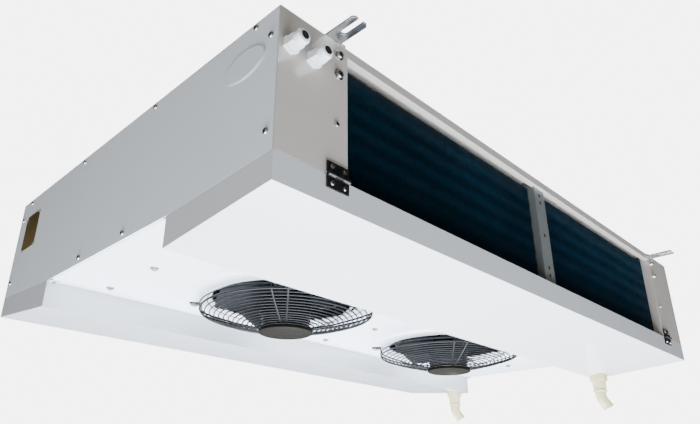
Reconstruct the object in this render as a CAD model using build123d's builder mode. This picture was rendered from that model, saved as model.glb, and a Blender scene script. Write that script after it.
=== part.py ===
"""Dual-discharge walk-in unit cooler: casing, coils, two guard-mounted fans and two swing-down drain pans.

Lengths are in millimetres. X runs along the casing, Y across it and Z up. The origin is the centre of the
four hanger tongues' pattern, on the tongues' top faces, so the whole cooler hangs below Z = 0.
"""
import os
from math import cos, radians, sin

from build123d import *

os.makedirs("parts", exist_ok=True)

# ---------------------------------------------------------------- driving sizes
CASE_LENGTH = 1410.0  # along X, over the end panels
CASE_WIDTH = 900.0  # along Y, over the two coil sides
CASE_HEIGHT = 220.0  # from the roof down to the line where casing and pans meet
SHEET = 1.5  # every folded sheet of the casing and the pans
PART_GAP = 0.3  # between two pieces that move against each other

POST_WIDTH = 128.5  # corner post beside each coil window
FASCIA_HEIGHT = 16.0  # strip over each coil window
WINDOW_RETURN = 20.0  # depth of the returns at the window's sides
LIP_RETURN = 12.0  # depth of the return over the window
END_FLANGE = 15.0  # flanges the end panels are screwed to
PANEL_GAP = 0.6  # around the edge of an end panel

PAN_WIDTH = 237.0  # across one drain pan
PAN_RISE = 13.7  # how far the fan deck lies below the split line
PAN_OUTER_DEPTH = 42.2  # outer wall of a pan
PAN_INNER_DEPTH = 64.4  # from the split line to a pan's lowest edge
PAN_TAB_LENGTH = 20.0  # screw tabs at the ends of a pan's inner wall
PAN_TAB_REACH = 12.0

DECK_WING = 318.0  # half width of the fan deck, over its upturned edges
DECK_LENGTH = 1400.0
DECK_UPTURN = 13.0

FAN_PITCH = 576.3  # between the two fan axes
THROAT_RADIUS = 155.0  # fan opening
BELL_RADIUS = 10.0  # rounding of the bellmouth's lip
BELL_HEIGHT = 30.0
BLADE_COUNT = 5
BLADE_TIP_GAP = 5.0
BLADE_ROOT_CHORD = 66.0
BLADE_TIP_CHORD = 124.0
BLADE_PITCH = 27.0
BLADE_THICKNESS = 3.0
BLADE_LEVEL = 7.5  # blades' mid-height above the deck's underside
ROTOR_RADIUS = 51.0
ROTOR_TOP = 21.0  # above the deck's underside
ROTOR_BOTTOM = 38.3  # below the deck's underside
SHAFT_RADIUS = 6.0
RUNNING_FIT = 0.05  # radial, on shafts and hinge pins
SHAFT_LENGTH = 36.0
MOTOR_CAP_RADIUS = 56.0
MOTOR_CAP_HEIGHT = 10.0
MOTOR_BODY_RADIUS = 50.0
MOTOR_BODY_TOP = 40.8  # below the deck's underside
MOTOR_DROP = 62.3  # motor cap's face below the deck's underside

GUARD_WIRE = 4.0
GUARD_PROFILE = ((178.0, 20.3), (150.0, 30.3), (100.0, 43.3), (62.0, 50.3), (50.0, 50.3))
GUARD_RINGS = (0, 3)  # points of the profile that carry a ring
GUARD_TAB_PCD = 386.0
GUARD_TAB_LENGTH = 26.0
GUARD_TAB_WIDTH = 22.0
SPOKE_SPLIT = 5.0  # half the angle between the two spokes of a pair
TAB_SHEET = 2.0

LEAD_RADIUS = 2.5
LEAD_LIFT = 0.4  # between a lead and the guard under it
LEAD_HOLE_RADIUS = 3.5
LEAD_ENTRY_RADIUS = 171.0  # where a lead passes the deck, from the fan's axis
LEAD_LEVEL = 6.2  # leads' height over the deck's top
LEAD_TRACKS = (-185.0, -195.0)

FIN_NEAR = 430.0  # fin packs, from the casing's middle plane
FIN_FAR = 320.0
FIN_TOP_GAP = 17.0
FIN_BOTTOM_GAP = 2.0
TUBE_SHEET_X = 590.0
TUBE_SHEET_THICKNESS = 2.0
TUBE_SHEET_MARGIN = 2.0
TUBE_ROWS = 6
TUBE_COLUMNS = (402.0, 348.0)
BEND_RADIUS = 5.0  # corner radius of the six-sided return bends
SUPPORT_WIDTH = 40.0
SUPPORT_RECESS = 7.0

HEADER_X = 650.0
HEADER_RADIUS = 11.0
CROSS_PIPE_RADIUS = 9.5
DISTRIBUTOR_X = 622.0
DISTRIBUTOR_RADIUS = 12.0
LIQUID_RADIUS = 6.35
SUCTION_Y = 120.0
SUCTION_DROP = 60.0
LIQUID_DROP = 150.0
STUB_REACH = 35.0  # pipe stubs beyond the end panel
STUB_SWAGE = 0.5  # each stub is wider than the pipe behind it
PIPE_CLEARANCE = 0.4

HANGER_SHEET = 3.0
HANGER_EDGE = 84.0  # from the casing's end to the tongue
TONGUE_WIDTH = 30.0
TONGUE_REACH = 54.0
HANGER_LEG_WIDTH = 40.0
HANGER_LEG_HEIGHT = 75.0
ROD_SLOT_RADIUS = 4.75
ROD_SLOT_START = 18.0  # closed end of the slot, beyond the casing's face

GLAND_X = (19.0, 60.5)  # from the casing's end
GLAND_DROP = 58.0  # below the roof
GLAND_FLATS = 24.0
GLAND_COLLAR = 6.0
GLAND_CAP_FLATS = 22.0
GLAND_CAP_LENGTH = 24.0
GLAND_SHANK_RADIUS = 9.9
GLAND_HOLE_RADIUS = 10.2
GLAND_BORE_RADIUS = 5.0
GLAND_SHANK_LENGTH = 12.0

HINGE_X = 108.5  # hinge centre from the casing's end
HINGE_WIDTH = 40.0
LEAF_HEIGHT = 19.0
LEAF_THICKNESS = 2.5
KNUCKLE_RADIUS = 3.2
HINGE_PIN_RADIUS = 1.5
MIDDLE_KNUCKLE = 13.4

DRAIN_END = 45.0  # drain axis from the casing's end
DRAIN_INSET = 25.0  # drain axis from the pan's inner wall
DRAIN_HEX_RADIUS = 23.0
DRAIN_HEX_HEIGHT = 17.0
DRAIN_SHANK_RADIUS = 10.5
DRAIN_HOLE_RADIUS = 10.9
DRAIN_SHANK_RISE = 8.0
DRAIN_BORE_RADIUS = 8.0
SPIGOT_RADIUS = 17.0
SPIGOT_LENGTH = 24.0
COLLAR_RADIUS = 18.5
COLLAR_HEIGHT = 6.0
SPOUT_RADIUS = 14.0
SPOUT_DROP = 16.0
SPOUT_REACH = 30.0
SPOUT_TILT = 35.0
SPOUT_LIP = 1.0  # raised lip round the outlet
SPOUT_LIP_LENGTH = 5.0


# ---------------------------------------------------------------- derived positions
half_length = CASE_LENGTH / 2
half_width = CASE_WIDTH / 2
roof_z = -HANGER_SHEET
inner_roof_z = roof_z - SHEET
split_z = roof_z - CASE_HEIGHT
deck_z = split_z - PAN_RISE
deck_top_z = deck_z + SHEET
pan_inner_y = half_width - PAN_WIDTH
window_half = half_length - POST_WIDTH
window_top_z = roof_z - FASCIA_HEIGHT
inside_x = half_length - SHEET
inside_y = half_width - SHEET
bulkhead_x = TUBE_SHEET_X + TUBE_SHEET_THICKNESS
fin_top_z = roof_z - FIN_TOP_GAP
fin_bottom_z = split_z + FIN_BOTTOM_GAP
row_pitch = (fin_top_z - fin_bottom_z) / TUBE_ROWS
row_levels = [fin_bottom_z + (row + 0.5) * row_pitch for row in range(TUBE_ROWS)]
lead_z = deck_top_z + LEAD_LEVEL
hinge_y = half_width + KNUCKLE_RADIUS + PART_GAP
fan_centres = {"left": -FAN_PITCH / 2, "right": FAN_PITCH / 2}
front, rear = -1, 1
left, right = -1, 1


def slab(x0, x1, y0, y1, z0, z1, mode=Mode.ADD):
    """Add a box between the given limits to the open part, or cut it from the part."""
    with Locations(((x0 + x1) / 2, (y0 + y1) / 2, (z0 + z1) / 2)):
        Box(abs(x1 - x0), abs(y1 - y0), abs(z1 - z0), mode=mode)


def rod(start, direction, radius, length, mode=Mode.ADD):
    """Add or cut a round bar that starts at a point and runs along a direction."""
    with Locations(Plane(origin=start, z_dir=direction)):
        Cylinder(radius, length, align=(Align.CENTER, Align.CENTER, Align.MIN), mode=mode)


def hexagon_bar(start, direction, flats, length):
    """Return a hexagonal bar, measured across its flats, from a point along a direction."""
    with BuildPart() as bar:
        with BuildSketch(Plane(origin=start, z_dir=direction)):
            RegularPolygon(flats / 2, 6, major_radius=False)
        extrude(amount=length)
    return bar.part


def knuckle(start_x, axis_y, length):
    """Return an eight-sided hinge knuckle on the split line, without its bore."""
    with BuildPart() as barrel:
        with BuildSketch(Plane(origin=(start_x, axis_y, split_z), x_dir=(0, 1, 0), z_dir=(1, 0, 0))):
            RegularPolygon(KNUCKLE_RADIUS, 8, rotation=22.5)
        extrude(amount=length)
    return barrel.part


def run_of_tube(points, radius):
    """Return a six-sided line through the points, mitred at its corners."""
    with BuildPart() as tube:
        with BuildLine() as path:
            Polyline(*points)
        with BuildSketch(Plane(origin=points[0], z_dir=Vector(*points[1]) - Vector(*points[0]))):
            RegularPolygon(radius, 6)
        sweep(path=path.wires()[0], transition=Transition.RIGHT)
    return tube.part


def keep(piece, name):
    """Name a finished piece and write its STEP file."""
    piece.label = name
    export_step(piece, f"parts/{name}.step")


# ---------------------------------------------------------------- casing
with BuildPart() as casing_shell:
    with BuildSketch(Plane.YZ):
        with Locations((0, split_z)):
            Rectangle(CASE_WIDTH, CASE_HEIGHT, align=(Align.CENTER, Align.MIN))
            Rectangle(
                CASE_WIDTH - 2 * SHEET,
                CASE_HEIGHT - SHEET,
                align=(Align.CENTER, Align.MIN),
                mode=Mode.SUBTRACT,
            )
    extrude(amount=half_length, both=True)
    for side in (front, rear):
        outer_y = side * (half_width + 1)
        slab(-window_half, window_half, outer_y, side * (inside_y - 1), split_z - 1, window_top_z, Mode.SUBTRACT)
        lip_y = side * (half_width - LIP_RETURN)
        slab(-window_half, window_half, side * half_width, lip_y, window_top_z, window_top_z + SHEET)
        for end in (left, right):
            edge_x = end * window_half
            return_y = side * (half_width - WINDOW_RETURN)
            slab(edge_x, edge_x + end * SHEET, side * inside_y, return_y, split_z, inner_roof_z)
            flange_x = end * (inside_x - SHEET)
            flange_y = side * (inside_y - END_FLANGE)
            slab(flange_x, end * inside_x, side * inside_y, flange_y, split_z, inner_roof_z)
            # opening in the roof that the hanger's leg drops through
            leg_x0 = end * (half_length - HANGER_EDGE + PART_GAP)
            leg_x1 = end * (half_length - HANGER_EDGE - HANGER_LEG_WIDTH - PART_GAP)
            leg_y = side * (inside_y - HANGER_SHEET - PART_GAP)
            slab(leg_x0, leg_x1, side * inside_y, leg_y, inner_roof_z - 1, roof_z + 1, Mode.SUBTRACT)
    for end in (left, right):
        flange_x = end * (inside_x - SHEET)
        slab(flange_x, end * inside_x, -inside_y, inside_y, inner_roof_z - END_FLANGE, inner_roof_z)
    for gland_x in GLAND_X:
        gland_start = (-half_length + gland_x, -inside_y + 1, roof_z - GLAND_DROP)
        rod(gland_start, (0, -1, 0), GLAND_HOLE_RADIUS, SHEET + 2, Mode.SUBTRACT)
keep(casing_shell.part, "casing_shell")

panel_half = inside_y - PANEL_GAP
panel_top_z = inner_roof_z - PANEL_GAP
for end, name in ((left, "left_end_panel"), (right, "right_end_panel")):
    with BuildPart() as end_panel:
        with BuildSketch(Plane.YZ.offset(end * inside_x)):
            with BuildLine():
                Polyline(
                    (-panel_half, split_z),
                    (-pan_inner_y, deck_z),
                    (pan_inner_y, deck_z),
                    (panel_half, split_z),
                    (panel_half, panel_top_z),
                    (-panel_half, panel_top_z),
                    close=True,
                )
            make_face()
        extrude(amount=end * SHEET)
        slab(
            end * (inside_x - END_FLANGE),
            end * inside_x,
            -pan_inner_y + END_FLANGE,
            pan_inner_y - END_FLANGE,
            deck_top_z,
            deck_top_z + SHEET,
        )
        if end == right:
            suction_hole = (inside_x - 1, SUCTION_Y, roof_z - SUCTION_DROP)
            rod(suction_hole, (1, 0, 0), HEADER_RADIUS + PIPE_CLEARANCE, SHEET + 2, Mode.SUBTRACT)
            liquid_hole = (inside_x - 1, 0, roof_z - LIQUID_DROP)
            rod(liquid_hole, (1, 0, 0), LIQUID_RADIUS + PIPE_CLEARANCE, SHEET + 2, Mode.SUBTRACT)
    keep(end_panel.part, name)

# ---------------------------------------------------------------- inner walls between the coils
wall_half = DECK_WING - 2.3
for end, name in ((left, "left_bulkhead"), (right, "right_bulkhead")):
    with BuildPart() as bulkhead:
        web_x = end * (bulkhead_x + SHEET)
        foot_x = end * (bulkhead_x + 20)
        slab(end * bulkhead_x, web_x, -wall_half, wall_half, deck_top_z, inner_roof_z)
        slab(end * bulkhead_x, foot_x, -wall_half, wall_half, deck_top_z, deck_top_z + SHEET)
        slab(end * bulkhead_x, foot_x, -wall_half, wall_half, inner_roof_z - SHEET, inner_roof_z)
        if end == left:
            for track_y in LEAD_TRACKS:
                hole_start = (web_x - 1, track_y, lead_z)
                rod(hole_start, (1, 0, 0), LEAD_HOLE_RADIUS, SHEET + 2, Mode.SUBTRACT)
    keep(bulkhead.part, name)

with BuildPart() as centre_divider:
    slab(0, SHEET, -wall_half, wall_half, deck_top_z, inner_roof_z)
    slab(-16, 0, -wall_half, wall_half, deck_top_z, deck_top_z + SHEET)
    slab(-16, 0, -wall_half, wall_half, inner_roof_z - SHEET, inner_roof_z)
    rod((-1, LEAD_TRACKS[1], lead_z), (1, 0, 0), LEAD_HOLE_RADIUS, SHEET + 2, Mode.SUBTRACT)
keep(centre_divider.part, "centre_divider")

# ---------------------------------------------------------------- fan deck
lead_entry_x = LEAD_ENTRY_RADIUS * cos(radians(-80))
lead_entry_y = LEAD_ENTRY_RADIUS * sin(radians(-80))
with BuildPart() as fan_deck:
    slab(-DECK_LENGTH / 2, DECK_LENGTH / 2, -DECK_WING, DECK_WING, deck_z, deck_top_z)
    for side in (front, rear):
        edge_y = side * DECK_WING
        slab(-DECK_LENGTH / 2, DECK_LENGTH / 2, edge_y, edge_y - side * SHEET, deck_z, deck_z + DECK_UPTURN)
    for centre_x in fan_centres.values():
        with Locations((centre_x, 0, deck_z)):
            Cylinder(THROAT_RADIUS + BELL_RADIUS, 20, mode=Mode.SUBTRACT)
        with BuildSketch(Plane(origin=(centre_x, 0, deck_z), x_dir=(1, 0, 0), z_dir=(0, -1, 0))):
            with BuildLine():
                outer_r = THROAT_RADIUS + BELL_RADIUS
                Polyline(
                    (outer_r, SHEET),
                    (outer_r, 0),
                    (outer_r - 0.5 * BELL_RADIUS, 0.13 * BELL_RADIUS),
                    (outer_r - 0.87 * BELL_RADIUS, 0.5 * BELL_RADIUS),
                    (THROAT_RADIUS, BELL_RADIUS),
                    (THROAT_RADIUS, BELL_HEIGHT),
                    (THROAT_RADIUS + SHEET, BELL_HEIGHT),
                    (THROAT_RADIUS + SHEET, BELL_RADIUS),
                    close=True,
                )
            make_face()
        revolve(axis=Axis((centre_x, 0, 0), (0, 0, 1)))
        with Locations((centre_x + lead_entry_x, lead_entry_y, deck_z)):
            Cylinder(LEAD_HOLE_RADIUS, 10, mode=Mode.SUBTRACT)
keep(fan_deck.part, "fan_deck")

# ---------------------------------------------------------------- coils
for side, side_name in ((front, "front"), (rear, "rear")):
    for end, end_name in ((left, "left"), (right, "right")):
        with BuildPart() as fin_pack:
            inner_x = end * SUPPORT_WIDTH / 2
            slab(inner_x, end * TUBE_SHEET_X, side * FIN_NEAR, side * FIN_FAR, fin_bottom_z, fin_top_z)
        keep(fin_pack.part, f"{side_name}_{end_name}_fins")

        with BuildPart() as tube_sheet:
            near_y = side * (FIN_NEAR + TUBE_SHEET_MARGIN)
            far_y = side * (FIN_FAR - TUBE_SHEET_MARGIN)
            sheet_x = end * bulkhead_x
            slab(end * TUBE_SHEET_X, sheet_x, near_y, far_y, split_z + 1, inner_roof_z)
            slab(sheet_x, sheet_x + end * 12, near_y, far_y, inner_roof_z - SHEET, inner_roof_z)
        keep(tube_sheet.part, f"{side_name}_{end_name}_tube_sheet")

    with BuildPart() as coil_support:
        face_y = side * (half_width - SUPPORT_RECESS)
        half_support = SUPPORT_WIDTH / 2
        top_z = window_top_z
        slab(-half_support, half_support, face_y, face_y - side * SHEET, split_z + 1, top_z)
        for end in (left, right):
            web_x = end * half_support
            slab(web_x, web_x - end * SHEET, face_y, side * FIN_FAR, split_z + 1, top_z)
            slab(web_x, web_x - end * SHEET, side * (half_width - LIP_RETURN - 1), side * FIN_FAR, top_z, inner_roof_z)
    keep(coil_support.part, f"{side_name}_coil_support")

    with BuildPart() as return_bends:
        near_y = side * TUBE_COLUMNS[0]
        far_y = side * TUBE_COLUMNS[1]
        mid_y = (near_y + far_y) / 2
        reach = abs(near_y - far_y) / 2
        flat = reach * 0.6
        for level in row_levels:
            outer_x = -bulkhead_x - reach
            points = [
                (-bulkhead_x, near_y, level),
                (outer_x, mid_y + side * flat, level),
                (outer_x, mid_y - side * flat, level),
                (-bulkhead_x, far_y, level),
            ]
            add(run_of_tube(points, BEND_RADIUS))
        for row in range(0, TUBE_ROWS, 2):
            low_z, high_z = row_levels[row], row_levels[row + 1]
            outer_x = bulkhead_x + row_pitch / 2
            points = [
                (bulkhead_x, near_y, low_z),
                (outer_x, near_y, low_z + row_pitch / 4),
                (outer_x, near_y, high_z - row_pitch / 4),
                (bulkhead_x, near_y, high_z),
            ]
            add(run_of_tube(points, BEND_RADIUS))
        slab(-bulkhead_x, bulkhead_x, -half_width, half_width, split_z, roof_z, Mode.SUBTRACT)
    keep(return_bends.part, f"{side_name}_return_bends")

suction_z = roof_z - SUCTION_DROP
liquid_z = roof_z - LIQUID_DROP
header_y = TUBE_COLUMNS[1]
with BuildPart() as suction_manifold:
    rod((HEADER_X, -header_y, suction_z), (0, 1, 0), CROSS_PIPE_RADIUS, 2 * header_y)
    for side in (front, rear):
        header_low = row_levels[0] - 12
        rod((HEADER_X, side * header_y, header_low), (0, 0, 1), HEADER_RADIUS, suction_z + 11 - header_low)
        for row in range(0, TUBE_ROWS, 2):
            stub_start = (bulkhead_x, side * header_y, row_levels[row])
            add(hexagon_bar(stub_start, (1, 0, 0), 2 * BEND_RADIUS, HEADER_X - bulkhead_x))
    pipe_radius = HEADER_RADIUS - STUB_SWAGE
    rod((HEADER_X, SUCTION_Y, suction_z), (1, 0, 0), pipe_radius, half_length - HEADER_X)
    rod((half_length, SUCTION_Y, suction_z), (1, 0, 0), HEADER_RADIUS, STUB_REACH)
keep(suction_manifold.part, "suction_manifold")

with BuildPart() as liquid_distributor:
    rod((DISTRIBUTOR_X, 0, row_levels[1] - 15), (0, 0, 1), DISTRIBUTOR_RADIUS, row_levels[5] - row_levels[1] + 30)
    pipe_radius = LIQUID_RADIUS - STUB_SWAGE
    rod((DISTRIBUTOR_X, 0, liquid_z), (1, 0, 0), pipe_radius, half_length - DISTRIBUTOR_X)
    rod((half_length, 0, liquid_z), (1, 0, 0), LIQUID_RADIUS, STUB_REACH)
keep(liquid_distributor.part, "liquid_distributor")

# ---------------------------------------------------------------- hangers
for side, side_name in ((front, "front"), (rear, "rear")):
    for end, end_name in ((left, "left"), (right, "right")):
        edge_x = end * (half_length - HANGER_EDGE)
        leg_x = edge_x - end * HANGER_LEG_WIDTH
        tongue_x = edge_x - end * TONGUE_WIDTH
        slot_x = (edge_x + tongue_x) / 2
        tip_y = side * (half_width + TONGUE_REACH)
        slot_y = side * (half_width + ROD_SLOT_START + ROD_SLOT_RADIUS)
        leg_y = side * inside_y
        back_y = side * (inside_y - HANGER_SHEET)
        with BuildPart() as hanger:
            slab(edge_x, leg_x, leg_y, back_y, roof_z - HANGER_LEG_HEIGHT, 0)
            slab(edge_x, leg_x, side * (half_width + 1), back_y, roof_z, 0)
            with BuildSketch(Plane.XY.offset(roof_z)):
                with BuildLine():
                    Polyline(
                        (edge_x, leg_y),
                        (edge_x, tip_y - side * 4),
                        (edge_x - end * 4, tip_y),
                        (tongue_x + end * 4, tip_y),
                        (tongue_x, tip_y - side * 4),
                        (tongue_x, leg_y),
                        close=True,
                    )
                make_face()
            extrude(amount=HANGER_SHEET)
            rod((slot_x, slot_y, roof_z - 1), (0, 0, 1), ROD_SLOT_RADIUS, 6, Mode.SUBTRACT)
            slot_x0 = slot_x - ROD_SLOT_RADIUS
            slot_x1 = slot_x + ROD_SLOT_RADIUS
            slab(slot_x0, slot_x1, slot_y, tip_y + side * 5, roof_z - 1, 1, Mode.SUBTRACT)
        keep(hanger.part, f"{side_name}_{end_name}_hanger")

# ---------------------------------------------------------------- cable glands
for gland_x, name in zip(GLAND_X, ("power_gland", "sensor_gland")):
    x = -half_length + gland_x
    z = roof_z - GLAND_DROP
    with BuildPart() as gland_body:
        add(hexagon_bar((x, -half_width, z), (0, -1, 0), GLAND_FLATS, GLAND_COLLAR))
        rod((x, -half_width, z), (0, 1, 0), GLAND_SHANK_RADIUS, GLAND_SHANK_LENGTH)
        rod((x, -half_width - 20, z), (0, 1, 0), GLAND_BORE_RADIUS, 60, Mode.SUBTRACT)
    keep(gland_body.part, f"{name}_body")
    with BuildPart() as gland_cap:
        cap_y = -half_width - GLAND_COLLAR
        add(hexagon_bar((x, cap_y, z), (0, -1, 0), GLAND_CAP_FLATS, GLAND_CAP_LENGTH))
        rod((x, cap_y + 5, z), (0, -1, 0), GLAND_BORE_RADIUS, 60, Mode.SUBTRACT)
    keep(gland_cap.part, f"{name}_cap")

# ---------------------------------------------------------------- fans
for end_name, centre_x in fan_centres.items():
    with BuildPart() as fan_guard:
        half_wire = GUARD_WIRE / 2
        for point in GUARD_RINGS:
            ring_radius, ring_drop = GUARD_PROFILE[point]
            with BuildSketch(Plane.XY.offset(deck_z - ring_drop - half_wire)):
                with Locations((centre_x, 0)):
                    Circle(ring_radius + half_wire)
                    Circle(ring_radius - half_wire, mode=Mode.SUBTRACT)
            extrude(amount=GUARD_WIRE)
        for quarter in range(4):
            for split in (-SPOKE_SPLIT, SPOKE_SPLIT):
                angle = 45 + 90 * quarter + split
                spoke_plane = Plane(
                    origin=(centre_x, 0, deck_z),
                    x_dir=(cos(radians(angle)), sin(radians(angle)), 0),
                    z_dir=(sin(radians(angle)), -cos(radians(angle)), 0),
                )
                with BuildSketch(spoke_plane):
                    with BuildLine():
                        upper = [(r, half_wire - drop) for r, drop in GUARD_PROFILE]
                        lower = [(r, -half_wire - drop) for r, drop in reversed(GUARD_PROFILE)]
                        Polyline(*upper, *lower, close=True)
                    make_face()
                extrude(amount=half_wire, both=True)
            angle = 45 + 90 * quarter
            leg_plane = Plane(
                origin=(centre_x, 0, deck_z),
                x_dir=(cos(radians(angle)), sin(radians(angle)), 0),
                z_dir=(sin(radians(angle)), -cos(radians(angle)), 0),
            )
            with BuildSketch(leg_plane):
                with BuildLine():
                    rim_radius, rim_drop = GUARD_PROFILE[0]
                    tab_end = GUARD_TAB_PCD / 2 + GUARD_TAB_LENGTH / 2 - 3
                    Polyline(
                        (tab_end, 0),
                        (rim_radius + 1, 0),
                        (rim_radius - half_wire, -rim_drop),
                        (rim_radius + half_wire, -rim_drop - half_wire),
                        (rim_radius + 4, -TAB_SHEET),
                        (tab_end, -TAB_SHEET),
                        close=True,
                    )
                make_face()
            extrude(amount=GUARD_TAB_WIDTH / 2, both=True)
    keep(fan_guard.part, f"{end_name}_fan_guard")

    with BuildPart() as fan_motor:
        rod((centre_x, 0, deck_z - MOTOR_DROP), (0, 0, 1), MOTOR_CAP_RADIUS, MOTOR_CAP_HEIGHT)
        body_height = MOTOR_DROP - MOTOR_BODY_TOP
        rod((centre_x, 0, deck_z - MOTOR_DROP), (0, 0, 1), MOTOR_BODY_RADIUS, body_height)
        rod((centre_x, 0, deck_z - MOTOR_BODY_TOP), (0, 0, 1), SHAFT_RADIUS, SHAFT_LENGTH)
    keep(fan_motor.part, f"{end_name}_fan_motor")

    blade_z = deck_z + BLADE_LEVEL
    tip_radius = THROAT_RADIUS - BLADE_TIP_GAP
    with BuildPart() as fan_rotor:
        for blade in range(BLADE_COUNT):
            angle = 90 + blade * 360 / BLADE_COUNT
            outward = Vector(cos(radians(angle)), sin(radians(angle)), 0)
            sideways = Vector(-sin(radians(angle)), cos(radians(angle)), 0)
            slant = sideways * cos(radians(BLADE_PITCH)) + Vector(0, 0, 1) * sin(radians(BLADE_PITCH))
            blade_plane = Plane(
                origin=Vector(centre_x, 0, blade_z),
                x_dir=outward,
                z_dir=outward.cross(slant),
            )
            root = ROTOR_RADIUS - 4
            half_root = BLADE_ROOT_CHORD / 2
            half_tip = BLADE_TIP_CHORD / 2
            with BuildSketch(blade_plane):
                with BuildLine():
                    Line((root, -half_root), (root, half_root))
                    ThreePointArc((root, half_root), (root + 45, half_root + 22), (tip_radius, half_tip))
                    ThreePointArc((tip_radius, half_tip), (tip_radius + 14, 0), (tip_radius, -half_tip))
                    ThreePointArc((tip_radius, -half_tip), (root + 55, -half_root - 6), (root, -half_root))
                make_face()
            extrude(amount=BLADE_THICKNESS / 2, both=True)
        with Locations((centre_x, 0, blade_z)):
            Cylinder(tip_radius, 200, mode=Mode.INTERSECT)
        rotor_height = ROTOR_BOTTOM + ROTOR_TOP
        rod((centre_x, 0, deck_z - ROTOR_BOTTOM), (0, 0, 1), ROTOR_RADIUS, rotor_height)
        shaft_start = (centre_x, 0, deck_z - ROTOR_BOTTOM - 1)
        rod(shaft_start, (0, 0, 1), SHAFT_RADIUS + RUNNING_FIT, SHAFT_LENGTH + 1, Mode.SUBTRACT)
    keep(fan_rotor.part, f"{end_name}_fan_rotor")

# leads from the motors, through the deck and along its top to the terminal block
block_z = deck_z + 37
lead_end_x = -(bulkhead_x + SHEET + 12.5)
lead_angles = (-80, -80, -72, -50, -28, -24)
lead_radii = (LEAD_ENTRY_RADIUS, LEAD_ENTRY_RADIUS, 150.0, 100.0, 62.0, MOTOR_BODY_RADIUS)
lead_drops = (0.0, 14.0, 30.3, 43.3, 50.3, 50.3)
for (end_name, centre_x), track_y in zip(fan_centres.items(), LEAD_TRACKS):
    entry_x = centre_x + lead_entry_x
    points = [
        (lead_end_x, track_y, block_z),
        (lead_end_x, track_y, lead_z),
        (entry_x, track_y, lead_z),
        (entry_x, lead_entry_y, lead_z),
    ]
    for angle, radius, drop in list(zip(lead_angles, lead_radii, lead_drops))[1:]:
        lift = GUARD_WIRE / 2 + LEAD_LIFT + LEAD_RADIUS if radius <= 150 else 0
        x = centre_x + radius * cos(radians(angle))
        y = radius * sin(radians(angle))
        points.append((x, y, deck_z - drop + lift))
    with BuildPart() as fan_lead:
        add(run_of_tube(points, LEAD_RADIUS))
        rod((centre_x, 0, deck_z - MOTOR_DROP), (0, 0, 1), MOTOR_BODY_RADIUS, MOTOR_DROP, Mode.SUBTRACT)
    keep(fan_lead.part, f"{end_name}_fan_lead")

with BuildPart() as terminal_block:
    web_x = -(bulkhead_x + SHEET)
    slab(web_x - 25, web_x, -230, -150, block_z, block_z + 30)
keep(terminal_block.part, "terminal_block")

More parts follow.
